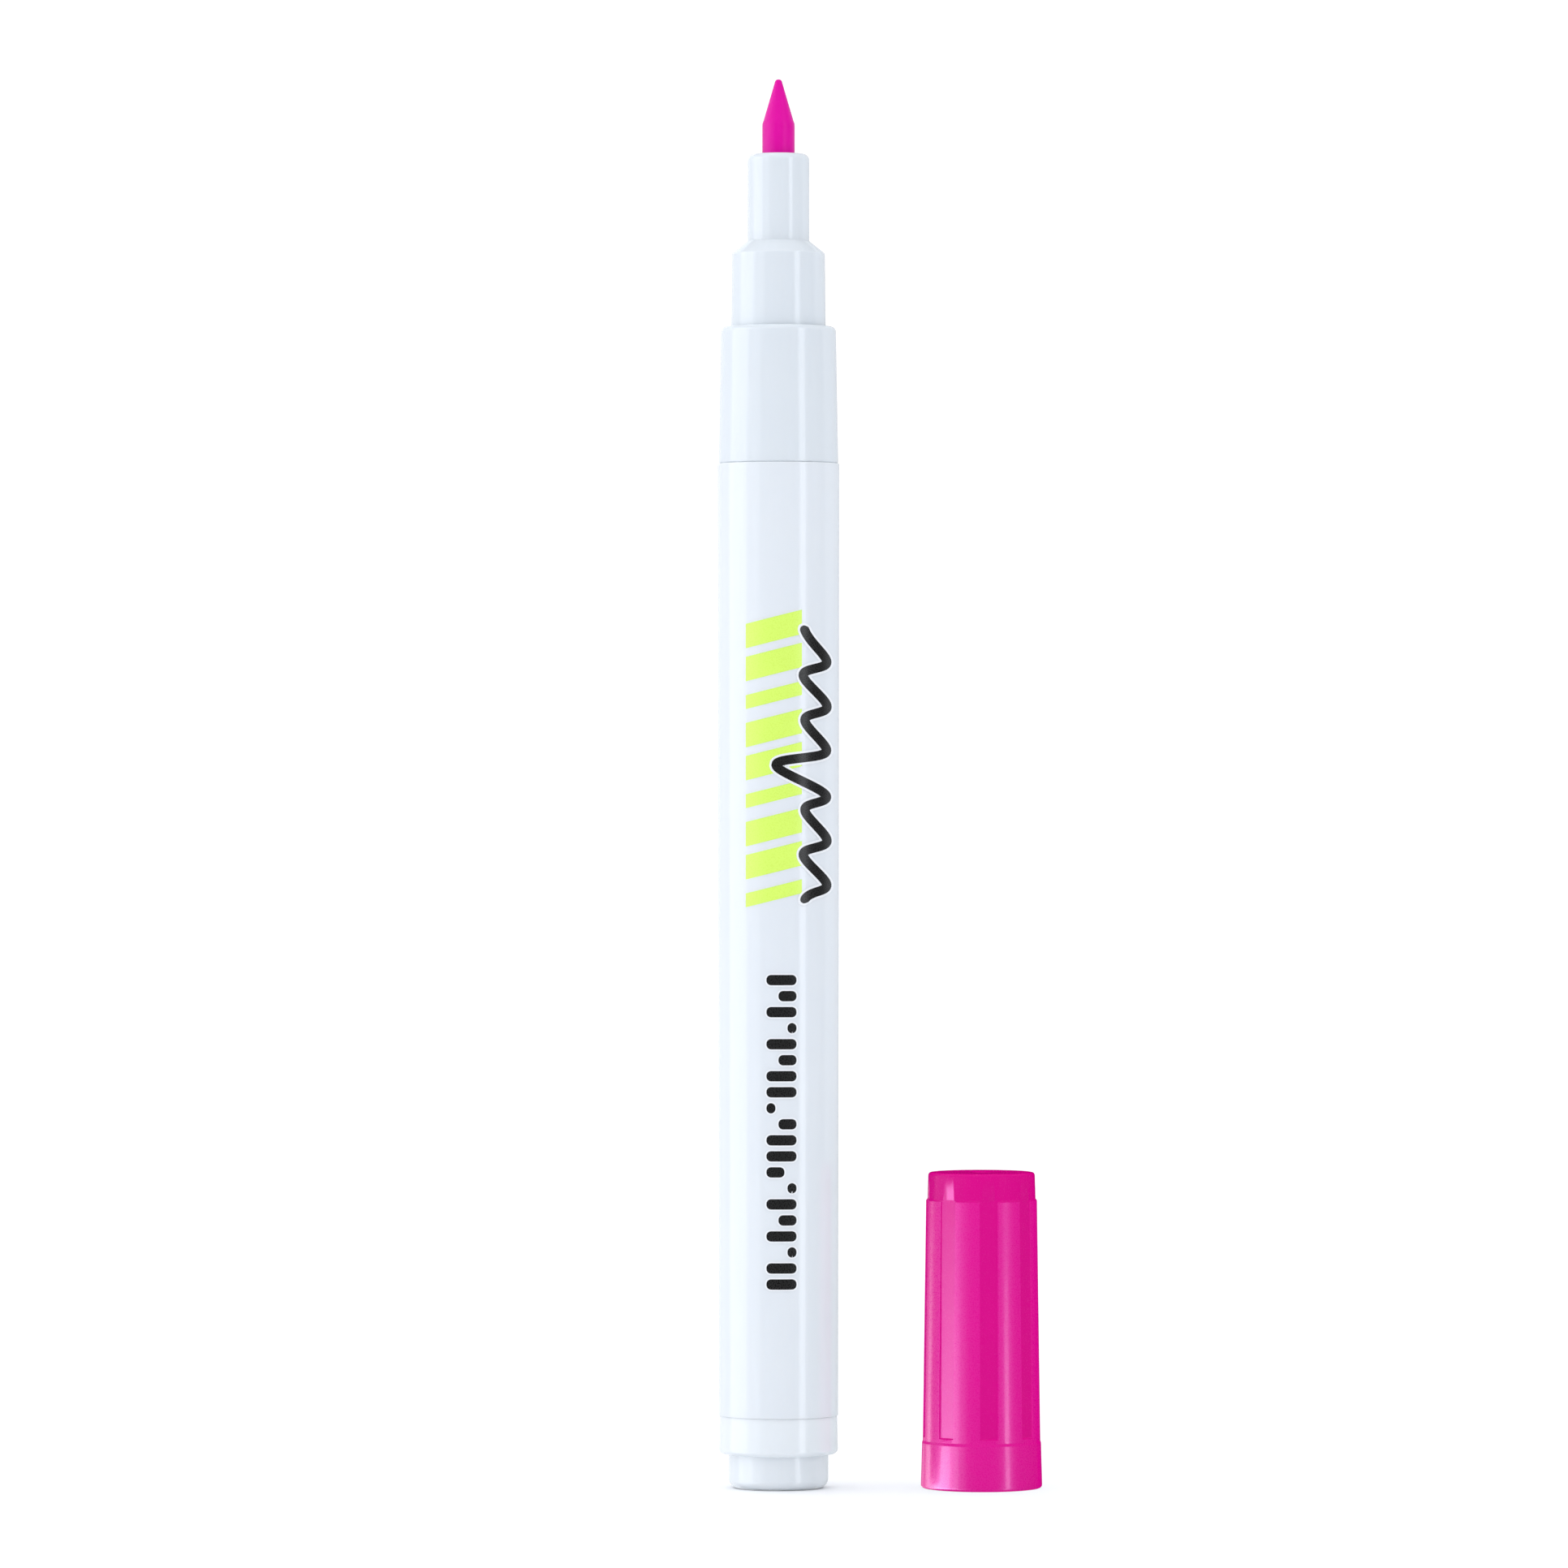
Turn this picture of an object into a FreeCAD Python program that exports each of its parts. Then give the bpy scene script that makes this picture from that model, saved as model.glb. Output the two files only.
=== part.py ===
import FreeCAD, Part
import os
import re
import Sketcher

# A valve-fed paint marker, standing on its tail with its cap off beside it.
# Every piece is a separate solid. The pen's axis is Z, its tail face is at z = 0, its nib points up,
# and the cap stands mouth down, further along +X. All sizes are in millimetres.

DIMENSIONS = (
    # Tail plug: a moulded cup. Its stub is the spigot that the cap is posted on.
    ("stub_dia", 9.2),
    ("stub_len", 3.15),
    ("stub_edge", 0.9),
    ("head_rear_dia", 11.0),
    ("head_front_dia", 10.84),
    ("head_len", 3.55),
    ("head_edge", 0.5),
    ("plug_spigot_len", 6.0),
    ("plug_bore", 7.2),
    ("plug_floor", 1.3),
    # Barrel: one plain tube, which is the paint tank.
    ("barrel_rear_dia", 11.02),
    ("barrel_front_dia", 11.26),
    ("barrel_len", 87.9),
    ("barrel_chamfer", 0.2),
    ("tank_dia", 9.4),
    # Snap bead, a low ring on each spigot that clicks into a groove in the tank's wall.
    ("bead_rise", 0.15),
    ("bead_half", 0.4),
    ("bead_place", 3.0),
    # Nose section: grip, collar that the cap grips, cone and neck.
    ("seam_dia", 10.78),
    ("seam_rise", 0.24),
    ("grip_rear_dia", 11.04),
    ("grip_front_dia", 10.62),
    ("grip_len", 12.65),
    ("grip_edge", 0.5),
    ("collar_rear_dia", 8.73),
    ("collar_front_dia", 8.57),
    ("collar_len", 6.75),
    ("cone_len", 1.15),
    ("neck_dia", 5.7),
    ("neck_len", 8.05),
    ("neck_edge", 0.6),
    ("nose_spigot_len", 8.0),
    ("chamber_dia", 6.0),
    ("chamber_len", 8.6),
    ("nib_bore", 3.12),
    ("air_groove_count", 3),
    ("air_groove_width", 0.5),
    ("air_groove_depth", 0.35),
    # Nib: a straight rod of bonded fibre with a ground point.
    ("nib_dia", 3.0),
    ("nib_rod_out", 2.8),
    ("nib_point_len", 4.1),
    ("nib_end_dia", 0.5),
    ("nib_tip_round", 0.3),
    ("nib_hidden_len", 15.2),
    # Valve, pressed into the nose section from behind.
    ("valve_dia", 7.6),
    ("valve_bore", 5.8),
    ("valve_len", 16.2),
    ("valve_wall", 1.2),
    ("valve_hole", 2.6),
    ("seat_len", 1.2),
    ("flange_len", 2.0),
    ("retainer_len", 6.0),
    ("guide_hole", 1.72),
    ("port_dia", 1.4),
    ("port_ring", 1.9),
    ("port_count", 4),
    ("stem_tail_dia", 1.6),
    ("stem_tail_len", 10.0),
    ("stem_head_dia", 4.6),
    ("stem_head_len", 1.8),
    ("stem_pin_dia", 1.8),
    ("spring_mean_dia", 3.4),
    ("spring_wire", 0.4),
    ("spring_turns", 7.0),
    # Mixing ball, loose in the tank.
    ("ball_dia", 6.0),
    # Cap: a tapered shell with eight flutes, and a liner that seals on the neck.
    ("cap_offset", 18.76),
    ("cap_turn", 6.2),
    ("cap_len", 29.15),
    ("mouth_dia", 11.2),
    ("mouth_round", 0.3),
    ("band_front_dia", 11.0),
    ("band_len", 4.15),
    ("band_chamfer", 0.25),
    ("land_rear_dia", 10.86),
    ("land_front_dia", 10.25),
    ("land_end", 26.55),
    ("ring_rear_dia", 9.98),
    ("ring_front_dia", 9.85),
    ("ring_start", 26.72),
    ("ring_edge", 0.3),
    ("post_bore", 9.3),
    ("post_depth", 3.3),
    ("mouth_lead", 0.3),
    ("grip_bore", 8.8),
    ("grip_depth", 7.2),
    ("shell_bore", 8.0),
    ("shell_depth", 27.9),
    ("flute_count", 8),
    ("flute_width", 1.66),
    ("flute_floor_rear", 5.19),
    ("flute_floor_front", 4.95),
    ("flute_start", 4.85),
    ("flute_ledge", 0.25),
    ("liner_start", 8.3),
    ("liner_mouth_dia", 6.6),
    ("liner_lead", 0.9),
    ("liner_seal_dia", 5.8),
    ("liner_seal_len", 2.4),
    ("liner_bore", 6.4),
    ("liner_roof", 1.2),
)

doc = FreeCAD.newDocument("paint_marker")
sheet = doc.addObject("Spreadsheet::Sheet", "Dims")
for row, (alias, value) in enumerate(DIMENSIONS, start=1):
    sheet.set(f"A{row}", alias)
    sheet.set(f"B{row}", str(value))
    sheet.setAlias(f"B{row}", alias)
doc.recompute()


def bound(text):
    """The expression in text, with each size named as a cell of the sheet."""
    return re.sub(r"\b([a-z]\w*)", r"Dims.\1", text)


def number(text):
    """What the expression in text comes to now."""
    return float(sheet.evalExpression(text))


def new_body(label, along=None, aside=None, turn=None):
    """A body at its place: along the pen's axis, aside from it, and turned about its own axis."""
    body = doc.addObject("PartDesign::Body", label)
    body.Label = label
    if along:
        body.setExpression("Placement.Base.z", bound(along))
    if aside:
        body.setExpression("Placement.Base.x", bound(aside))
    if turn:
        body.Placement.Rotation = FreeCAD.Rotation(FreeCAD.Vector(0, 0, 1), number(turn))
        body.setExpression("Placement.Rotation.Angle", bound(turn) + " * 1 deg")
    return body


def origin_item(body, role):
    """An origin plane or axis of the body itself."""
    return next(item for item in body.Origin.OriginFeatures if item.Role == role)


def sketch_on(body, name, role):
    sketch = body.newObject("Sketcher::SketchObject", name)
    sketch.AttachmentSupport = [(origin_item(body, role), "")]
    sketch.MapMode = "FlatFace"
    return sketch


def hold(sketch, kind, axis, geometry, text, name):
    """Ties a line's start to the sketch's origin along one direction by the size in text."""
    if text == "0":
        sketch.addConstraint(Sketcher.Constraint("PointOnObject", geometry, 1, axis))
        return
    index = sketch.addConstraint(
        Sketcher.Constraint(kind, -1, 1, geometry, 1, number(text))
    )
    sketch.renameConstraint(index, name)
    sketch.setExpression(f"Constraints.{name}", bound(text))


def outline(sketch, corners):
    """A closed outline through corners, each a pair of expressions: distance across and up."""
    places = [FreeCAD.Vector(number(x), number(y), 0) for x, y in corners]
    lines = [
        sketch.addGeometry(Part.LineSegment(a, b), False)
        for a, b in zip(places, places[1:] + places[:1])
    ]
    for line, after in zip(lines, lines[1:] + lines[:1]):
        sketch.addConstraint(Sketcher.Constraint("Coincident", line, 2, after, 1))
    for line, (x, y) in zip(lines, corners):
        hold(sketch, "DistanceX", -2, line, x, f"across_{line}")
        hold(sketch, "DistanceY", -1, line, y, f"up_{line}")


def turned(body, name, corners):
    """A solid of revolution about the body's Z axis."""
    sketch = sketch_on(body, name + "_profile", "XZ_Plane")
    outline(sketch, corners)
    solid = body.newObject("PartDesign::Revolution", name)
    solid.Profile = sketch
    solid.ReferenceAxis = (sketch, ["V_Axis"])
    solid.Angle = 360
    sketch.Visibility = False
    doc.recompute()
    return solid


def rim_names(shape, diameter, height):
    """Names of the circular edges of this diameter at this height in the body."""
    names = []
    for index, edge in enumerate(shape.Edges, start=1):
        if not isinstance(edge.Curve, Part.Circle):
            continue
        same_size = abs(edge.Curve.Radius - number(diameter) / 2) < 1e-4
        if same_size and abs(edge.Curve.Center.z - number(height)) < 1e-4:
            names.append(f"Edge{index}")
    return names


def rounded(body, name, diameter, height, radius):
    """A fillet on one rim of the body."""
    base = body.Tip
    fillet = body.newObject("PartDesign::Fillet", name)
    fillet.Base = (base, rim_names(base.Shape, diameter, height))
    fillet.Radius = number(radius)
    fillet.setExpression("Radius", bound(radius))
    doc.recompute()


def patterned(body, name, feature, count):
    """The feature repeated evenly round the body's Z axis."""
    pattern = body.newObject("PartDesign::PolarPattern", name)
    pattern.Originals = [feature]
    pattern.Axis = (origin_item(body, "Z_Axis"), [""])
    pattern.Angle = 360
    pattern.Occurrences = int(number(count))
    pattern.setExpression("Occurrences", bound(count))
    body.Tip = pattern
    doc.recompute()


def bead(base_dia, centre, outward_up):
    """Three corners of a snap bead, or its groove, met in the order that the outline runs."""
    first, last = ("-", "+") if outward_up else ("+", "-")
    return [
        (f"{base_dia} / 2", f"{centre} {first} bead_half"),
        (f"{base_dia} / 2 + bead_rise", centre),
        (f"{base_dia} / 2", f"{centre} {last} bead_half"),
    ]


def make_tail_plug():
    body = new_body("tail_plug")
    top = "stub_len + head_len + plug_spigot_len"
    corners = [
        ("0", "0"),
        ("stub_dia / 2", "0"),
        ("stub_dia / 2", "stub_len"),
        ("head_rear_dia / 2", "stub_len"),
        ("head_front_dia / 2", "stub_len + head_len"),
        ("tank_dia / 2", "stub_len + head_len"),
    ]
    corners += bead("tank_dia", "stub_len + head_len + bead_place", True)
    corners += [
        ("tank_dia / 2", top),
        ("plug_bore / 2", top),
        ("plug_bore / 2", "plug_floor"),
        ("0", "plug_floor"),
    ]
    turned(body, "plug_cup", corners)
    rounded(body, "stub_rounding", "stub_dia", "0", "stub_edge")
    rounded(body, "head_rounding", "head_rear_dia", "stub_len", "head_edge")
    return body


def make_barrel():
    body = new_body("barrel", along="stub_len + head_len")
    corners = [
        ("tank_dia / 2", "0"),
        ("barrel_rear_dia / 2", "0"),
        ("barrel_front_dia / 2", "barrel_len - barrel_chamfer"),
        ("barrel_front_dia / 2 - barrel_chamfer", "barrel_len"),
        ("tank_dia / 2", "barrel_len"),
    ]
    corners += bead("tank_dia", "barrel_len - bead_place", False)
    corners += bead("tank_dia", "bead_place", False)
    turned(body, "tank_tube", corners)
    return body


def make_nose_section():
    body = new_body("nose_section", along="stub_len + head_len + barrel_len")
    collar_top = "grip_len + collar_len"
    top = collar_top + " + cone_len + neck_len"
    seat = "flange_len + valve_len - nose_spigot_len"
    chamber_top = seat + " + chamber_len"
    corners = [
        ("valve_dia / 2", "-nose_spigot_len"),
        ("tank_dia / 2", "-nose_spigot_len"),
    ]
    corners += bead("tank_dia", "-bead_place", True)
    corners += [
        ("tank_dia / 2", "0"),
        ("seam_dia / 2", "0"),
        ("grip_rear_dia / 2", "seam_rise"),
        ("grip_front_dia / 2", "grip_len"),
        ("collar_rear_dia / 2", "grip_len"),
        ("collar_front_dia / 2", collar_top),
        ("neck_dia / 2", collar_top + " + cone_len"),
        ("neck_dia / 2", top),
        ("nib_bore / 2", top),
        ("nib_bore / 2", chamber_top),
        ("chamber_dia / 2", chamber_top),
        ("chamber_dia / 2", seat),
        ("valve_dia / 2", seat),
    ]
    turned(body, "nose_shell", corners)
    rounded(body, "neck_rounding", "neck_dia", top, "neck_edge")
    rounded(body, "grip_rounding", "grip_front_dia", "grip_len", "grip_edge")
    sketch = sketch_on(body, "air_groove_section", "XY_Plane")
    outline(sketch, [
        ("nib_bore / 2 - air_groove_depth", "-air_groove_width / 2"),
        ("nib_bore / 2 + air_groove_depth", "-air_groove_width / 2"),
        ("nib_bore / 2 + air_groove_depth", "air_groove_width / 2"),
        ("nib_bore / 2 - air_groove_depth", "air_groove_width / 2"),
    ])
    groove = body.newObject("PartDesign::Pocket", "air_groove")
    groove.Profile = sketch
    groove.Type = "ThroughAll"
    groove.Reversed = True
    sketch.Visibility = False
    doc.recompute()
    patterned(body, "air_grooves", groove, "air_groove_count")
    return body


def make_nib():
    body = new_body("nib", along="stub_len + head_len + barrel_len")
    rear = "grip_len + collar_len + cone_len + neck_len - nib_hidden_len"
    rod_end = "grip_len + collar_len + cone_len + neck_len + nib_rod_out"
    tip = rod_end + " + nib_point_len"
    turned(body, "nib_rod", [
        ("0", rear),
        ("nib_dia / 2", rear),
        ("nib_dia / 2", rod_end),
        ("nib_end_dia / 2", tip),
        ("0", tip),
    ])
    rounded(body, "nib_tip", "nib_end_dia", tip, "nib_tip_round")
    return body


# The valve unit's pieces are placed from the rear end of the nose section's spigot.
SPIGOT_END = "stub_len + head_len + barrel_len - nose_spigot_len"
HEAD_REAR = "flange_len + valve_len - valve_wall - seat_len - stem_head_len"


def make_valve_body():
    body = new_body("valve_body", along=SPIGOT_END + " + flange_len")
    turned(body, "valve_cup", [
        ("valve_bore / 2", "0"),
        ("valve_dia / 2", "0"),
        ("valve_dia / 2", "valve_len"),
        ("valve_hole / 2", "valve_len"),
        ("valve_hole / 2", "valve_len - valve_wall"),
        ("valve_bore / 2", "valve_len - valve_wall"),
    ])
    return body


def make_valve_seat():
    place = SPIGOT_END + " + flange_len + valve_len - valve_wall - seat_len"
    body = new_body("valve_seat", along=place)
    turned(body, "seat_ring", [
        ("valve_hole / 2", "0"),
        ("valve_bore / 2", "0"),
        ("valve_bore / 2", "seat_len"),
        ("valve_hole / 2", "seat_len"),
    ])
    return body


def make_valve_stem():
    body = new_body("valve_stem", along=SPIGOT_END + " + " + HEAD_REAR)
    nib_rear = "nose_spigot_len + grip_len + collar_len + cone_len + neck_len - nib_hidden_len"
    pin_top = f"{nib_rear} - ({HEAD_REAR})"
    turned(body, "stem_profile", [
        ("0", "-stem_tail_len"),
        ("stem_tail_dia / 2", "-stem_tail_len"),
        ("stem_tail_dia / 2", "0"),
        ("stem_head_dia / 2", "0"),
        ("stem_head_dia / 2", "stem_head_len"),
        ("stem_pin_dia / 2", "stem_head_len"),
        ("stem_pin_dia / 2", pin_top),
        ("0", pin_top),
    ])
    return body


def make_valve_retainer():
    body = new_body("valve_retainer", along=SPIGOT_END)
    turned(body, "retainer_plug", [
        ("guide_hole / 2", "0"),
        ("valve_dia / 2", "0"),
        ("valve_dia / 2", "flange_len"),
        ("valve_bore / 2", "flange_len"),
        ("valve_bore / 2", "retainer_len"),
        ("guide_hole / 2", "retainer_len"),
    ])
    sketch = sketch_on(body, "port_section", "XY_Plane")
    circle = sketch.addGeometry(
        Part.Circle(
            FreeCAD.Vector(number("port_ring"), 0, 0),
            FreeCAD.Vector(0, 0, 1),
            number("port_dia") / 2,
        ),
        False,
    )
    sketch.addConstraint(Sketcher.Constraint("PointOnObject", circle, 3, -1))
    ring = sketch.addConstraint(
        Sketcher.Constraint("DistanceX", -1, 1, circle, 3, number("port_ring"))
    )
    sketch.setExpression(f"Constraints[{ring}]", bound("port_ring"))
    size = sketch.addConstraint(Sketcher.Constraint("Diameter", circle, number("port_dia")))
    sketch.setExpression(f"Constraints[{size}]", bound("port_dia"))
    port = body.newObject("PartDesign::Pocket", "paint_port")
    port.Profile = sketch
    port.Type = "ThroughAll"
    port.Reversed = True
    sketch.Visibility = False
    doc.recompute()
    patterned(body, "paint_ports", port, "port_count")
    return body


def make_valve_spring():
    """A wire swept along a helix, from the retainer's front face to the stem's head."""
    room = f"{HEAD_REAR} - retainer_len"
    helix = doc.addObject("Part::Helix", "spring_path")
    helix.SegmentLength = 1
    helix.setExpression("Radius", bound("spring_mean_dia / 2"))
    helix.setExpression("Height", bound(f"{room} - spring_wire"))
    helix.setExpression("Pitch", bound(f"({room} - spring_wire) / spring_turns"))
    wire = doc.addObject("Part::Circle", "spring_wire_section")
    wire.setExpression("Radius", bound("spring_wire / 2"))
    wire.Placement.Rotation = FreeCAD.Rotation(FreeCAD.Vector(1, 0, 0), 90)
    wire.setExpression("Placement.Base.x", bound("spring_mean_dia / 2"))
    spring = doc.addObject("Part::Sweep", "valve_spring")
    spring.Sections = [wire]
    doc.recompute()
    spring.Spine = (helix, [f"Edge{i + 1}" for i in range(len(helix.Shape.Edges))])
    spring.Solid = True
    spring.Frenet = True
    spring.Label = "valve_spring"
    spring.setExpression("Placement.Base.z", bound(SPIGOT_END + " + retainer_len + spring_wire / 2"))
    doc.recompute()
    return spring


def make_mixing_ball():
    ball = doc.addObject("Part::Sphere", "mixing_ball")
    ball.Label = "mixing_ball"
    ball.setExpression("Radius", bound("ball_dia / 2"))
    ball.setExpression("Placement.Base.z", bound("plug_floor + ball_dia / 2"))
    doc.recompute()
    return ball


def make_cap_shell():
    body = new_body("cap_shell", aside="cap_offset", turn="cap_turn")
    turned(body, "shell_form", [
        ("post_bore / 2 + mouth_lead", "0"),
        ("mouth_dia / 2", "0"),
        ("band_front_dia / 2", "band_len"),
        ("land_rear_dia / 2", "band_len + band_chamfer"),
        ("land_front_dia / 2", "land_end"),
        ("ring_rear_dia / 2", "ring_start"),
        ("ring_front_dia / 2", "cap_len"),
        ("0", "cap_len"),
        ("0", "shell_depth"),
        ("shell_bore / 2", "shell_depth"),
        ("shell_bore / 2", "grip_depth"),
        ("grip_bore / 2", "grip_depth"),
        ("grip_bore / 2", "post_depth"),
        ("post_bore / 2", "post_depth"),
        ("post_bore / 2", "mouth_lead"),
    ])
    rounded(body, "mouth_rounding", "mouth_dia", "0", "mouth_round")
    rounded(body, "end_rounding", "ring_front_dia", "cap_len", "ring_edge")
    sketch = sketch_on(body, "flute_section", "XZ_Plane")
    outline(sketch, [
        ("flute_floor_rear", "flute_start"),
        ("mouth_dia / 2", "flute_start - flute_ledge"),
        ("mouth_dia / 2", "ring_start"),
        ("flute_floor_front", "ring_start"),
    ])
    flute = body.newObject("PartDesign::Pocket", "flute")
    flute.Profile = sketch
    flute.Midplane = True
    flute.Length = number("flute_width")
    flute.setExpression("Length", bound("flute_width"))
    sketch.Visibility = False
    doc.recompute()
    patterned(body, "flutes", flute, "flute_count")
    return body


def make_cap_liner():
    body = new_body("cap_liner", along="liner_start", aside="cap_offset")
    top = "shell_depth - liner_start"
    turned(body, "liner_cup", [
        ("liner_mouth_dia / 2", "0"),
        ("shell_bore / 2", "0"),
        ("shell_bore / 2", top),
        ("0", top),
        ("0", top + " - liner_roof"),
        ("liner_bore / 2", top + " - liner_roof"),
        ("liner_bore / 2", "liner_lead + liner_seal_len + liner_lead"),
        ("liner_seal_dia / 2", "liner_lead + liner_seal_len"),
        ("liner_seal_dia / 2", "liner_lead"),
    ])
    return body


def write(pieces):
    """Stops on any failed object or bad shape, and writes each piece to its own file."""
    doc.recompute()
    for item in doc.Objects:
        if "Invalid" in item.State or "Error" in item.State:
            raise RuntimeError(f"{item.Label} failed: {item.State}")
    for piece in pieces:
        if piece.Shape.isNull() or not piece.Shape.isValid() or not piece.Shape.Solids:
            raise RuntimeError(f"{piece.Label} has no valid solid")
    os.makedirs("parts", exist_ok=True)
    for piece in pieces:
        box = piece.Shape.BoundBox
        piece.Shape.exportStep(f"parts/{piece.Label}.step")
        print(f"{piece.Label}: {piece.Shape.Volume:.1f} mm3, z {box.ZMin:.2f} to {box.ZMax:.2f}")


def main():
    write([
        make_tail_plug(),
        make_barrel(),
        make_nose_section(),
        make_nib(),
        make_valve_body(),
        make_valve_seat(),
        make_valve_stem(),
        make_valve_retainer(),
        make_valve_spring(),
        make_mixing_ball(),
        make_cap_shell(),
        make_cap_liner(),
    ])


main()
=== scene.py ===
import math

import bpy
from bpy.props import FloatProperty, FloatVectorProperty, IntProperty, PointerProperty
from mathutils import Matrix, Vector


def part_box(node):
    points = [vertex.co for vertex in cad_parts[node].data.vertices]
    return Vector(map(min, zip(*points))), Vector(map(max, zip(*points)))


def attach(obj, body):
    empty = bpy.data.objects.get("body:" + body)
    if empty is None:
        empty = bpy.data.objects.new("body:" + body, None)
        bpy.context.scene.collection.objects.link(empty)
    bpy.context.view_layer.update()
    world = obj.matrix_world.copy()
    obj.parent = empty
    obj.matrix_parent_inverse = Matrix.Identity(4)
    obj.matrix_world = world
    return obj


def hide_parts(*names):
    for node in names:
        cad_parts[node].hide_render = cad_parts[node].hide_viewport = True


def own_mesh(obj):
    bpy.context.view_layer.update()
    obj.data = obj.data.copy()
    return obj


bl_info = {
    "name": "Fluted-cap paint marker",
    "version": (1, 0, 0),
    "blender": (4, 5, 0),
    "location": "3D View > Sidebar > Marker",
    "description": "Models a felt-tip paint marker with its cap off, its printing and its stage",
    "category": "Object",
}

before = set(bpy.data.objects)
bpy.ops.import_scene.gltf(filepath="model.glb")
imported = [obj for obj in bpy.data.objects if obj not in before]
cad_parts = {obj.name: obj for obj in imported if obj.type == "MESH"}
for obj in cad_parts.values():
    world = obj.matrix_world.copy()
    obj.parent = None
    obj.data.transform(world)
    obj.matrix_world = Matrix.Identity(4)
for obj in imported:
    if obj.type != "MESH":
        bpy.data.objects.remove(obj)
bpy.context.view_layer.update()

MM = 0.001
POLE = 1e-7  # radius of a ring that closes on the axis
WELD = 1e-6  # points nearer than this become one
SIDES = 160  # sides of every turned outline, so that prints and tubes share their facets

BARREL_LOW, BARREL_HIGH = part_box("barrel")
PLUG_LOW, PLUG_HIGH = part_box("tail_plug")
NOSE_LOW, NOSE_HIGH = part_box("nose_section")
NIB_LOW, NIB_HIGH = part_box("nib")
CAP_LOW, CAP_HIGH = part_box("cap_shell")
CAP_X = (CAP_LOW.x + CAP_HIGH.x) / 2

# The snap bead and its groove, from the end of the barrel, and how far they stand out.
BEAD_START, BEAD_PEAK, BEAD_END = 2.6 * MM, 3 * MM, 3.4 * MM
BEAD_RISE = 0.15 * MM
# The small sunk disc that the mould's gate leaves in the middle of an end.
GATE_DEPTH, GATE_FLOOR, GATE_RIM = 0.12 * MM, 0.7 * MM, 0.85 * MM

BARREL = "barrel_tube"
CAP_SHELL = "cap_shell_moulding"
BARREL_WHITE = "white_polypropylene_moulded_barrel"
NOSE_WHITE = "white_polypropylene_moulded_nose"
# The plug's white is the barrel's plastic drawn lighter: painted fill light against the shade at the
# marker's foot.
PLUG_WHITE = "white_polypropylene_moulded_plug"
SATIN = "magenta_polypropylene_moulded_grained"
# The polished faces use a deeper magenta than the grained ones: painted shade in the flutes and on the end
# ring.
POLISHED = "magenta_polypropylene_moulded_polished"
FIBRE = "polyester_fibre_bonded_soaked"
LIME_INK = "lime_ink_pad_printed"
BLACK_INK = "black_ink_pad_printed"
WHITE_INK = "white_ink_pad_printed"
NATURAL = "natural_polyethylene_moulded"
STEEL = "stainless_steel_drawn"
RUBBER = "nitrile_rubber_moulded"
FLOOR = "white_emulsion_rolled"

PRINT_PLANE = -12 * MM  # flat prints are drawn here, in front of the barrel, and then wrapped on it
# Turns a flat piece's X up the barrel and its Y across it, facing the front.
UP_THE_BARREL = Matrix(((0, 1, 0, 0), (0, 0, 1, PRINT_PLANE), (1, 0, 0, 0), (0, 0, 0, 1)))


def length(name, description, default):
    return FloatProperty(
        name=name, description=description, default=default, unit="LENGTH", precision=5
    )


def paint(name, description, code):
    return FloatVectorProperty(
        name=name, description=description, default=linear(code), subtype="COLOR", size=4
    )


def linear(code):
    """An sRGB hex colour, such as "#E6EBF5", as linear red, green, blue and alpha."""
    parts = [int(code[i:i + 2], 16) / 255 for i in (1, 3, 5)]
    return [c / 12.92 if c <= 0.04045 else ((c + 0.055) / 1.055) ** 2.4 for c in parts] + [1.0]


class MarkerSizes(bpy.types.PropertyGroup):
    barrel_front: length("Barrel front radius", "Outer radius at the seam with the nose", BARREL_HIGH.x)
    barrel_rear: length("Barrel rear radius", "Outer radius at the tail plug", 5.51 * MM)
    tank: length("Tank radius", "Inner radius of the barrel", 4.7 * MM)
    barrel_chamfer: length("Barrel chamfer", "Chamfer on the barrel's front rim", 0.06 * MM)
    stub: length("Stub radius", "Radius of the stub that takes the posted cap", 4.6 * MM)
    stub_length: length("Stub length", "Height of the stub below the plug's head", 3.15 * MM)
    stub_edge: length("Stub edge", "Rounding of the stub's foot", 0.9 * MM)
    head_rear: length("Plug head rear radius", "Radius at the head's rounded edge", 5.5 * MM)
    head_front: length("Plug head front radius", "Radius at the barrel", 5.42 * MM)
    head_edge: length("Plug head edge", "Rounding of the head's rear edge", 0.5 * MM)
    seam: length("Seam radius", "Bottom of the groove between barrel and nose", 5.45 * MM)
    seam_rise: length("Seam rise", "Height of the nose's half of the groove", 0.12 * MM)
    grip_rear: length("Grip rear radius", "Grip radius above the seam", 5.52 * MM)
    grip_front: length("Grip front radius", "Grip radius at the shoulder", 5.31 * MM)
    grip_length: length("Grip length", "From the seam to the shoulder", 12.65 * MM)
    grip_edge: length("Shoulder edge", "Rounding of the shoulder", 0.5 * MM)
    collar_rear: length("Collar rear radius", "Collar radius at the shoulder", 4.365 * MM)
    collar_front: length("Collar front radius", "Collar radius at the cone", 4.285 * MM)
    collar_length: length("Collar length", "From the shoulder to the cone", 6.75 * MM)
    cone_length: length("Cone length", "From the collar to the neck", 1.15 * MM)
    neck: length("Neck radius", "Radius of the neck round the nib", 2.85 * MM)
    neck_edge: length("Neck edge", "Rounding of the neck's rim", 0.6 * MM)
    nib_bore: length("Nib bore radius", "Radius of the hole that the nib slides in", 1.56 * MM)
    nib: length("Nib radius", "Radius of the fibre rod", NIB_HIGH.x)
    nib_point: length("Point length", "Length of the ground point", 4.1 * MM)
    nib_tip: length("Tip rounding", "Radius of the point's end", 0.3 * MM)


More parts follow.
